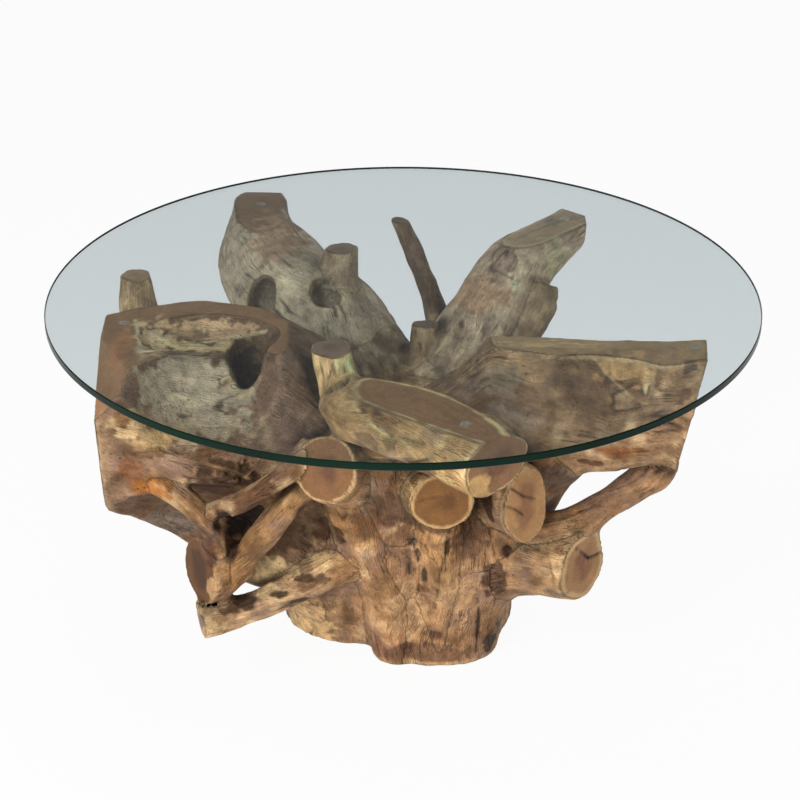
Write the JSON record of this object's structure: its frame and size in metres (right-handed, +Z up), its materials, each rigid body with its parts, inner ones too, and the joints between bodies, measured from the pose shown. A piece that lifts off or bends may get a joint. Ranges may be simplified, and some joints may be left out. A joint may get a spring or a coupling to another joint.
{
  "type": "round coffee table",
  "caption": "Round coffee table: a clear glass disc lies loose on the sawn tips of an upturned hardwood root stump.",
  "frame": {"origin": "on the floor, under the middle of the round glass top", "axes": "+Z up; -Y towards the front, where the long centre root points; +X to the right"},
  "size_m": [0.8999, 0.9, 0.45],
  "materials": {
    "sawn_heartwood": "sawn and sanded, clear satin finish",
    "pale_sapwood": "sanded, clear satin finish",
    "barked_root": "brushed root surface",
    "weathered_root": "weathered and brushed",
    "dowel_wood": "turned hardwood",
    "clear_silicone": "clear, soft",
    "float_glass": "float glass, polished edge"
  },
  "bodies": {
    "root_base": {"glass_pads": "clear_silicone", "joint_dowels": "dowel_wood", "root_stump": "barked_root", "left_burl": "weathered_root", "left_back_peg": "pale_sapwood", "back_left_limb": "weathered_root", "back_left_knob": "barked_root", "thin_back_root": "weathered_root", "back_right_limb": "pale_sapwood", "back_right_knob": "barked_root", "right_slab": "weathered_root", "right_loop_strut": "barked_root", "right_low_log": "barked_root", "right_front_log": "sawn_heartwood", "middle_front_log": "sawn_heartwood", "left_front_log": "sawn_heartwood", "centre_post": "pale_sapwood", "centre_slab_root": "sawn_heartwood", "left_diagonal_root": "barked_root", "left_hook": "sawn_heartwood", "left_low_branch": "pale_sapwood", "left_fork": "barked_root"},
    "loose_glass": {"glass_top": "float_glass"}
  },
  "joints": [
    {"name": "glass_lift", "type": "slide", "parent": "root_base", "child": "loose_glass", "axis": [0, 0, 1], "range_m": [0, 0.1]}
  ]
}
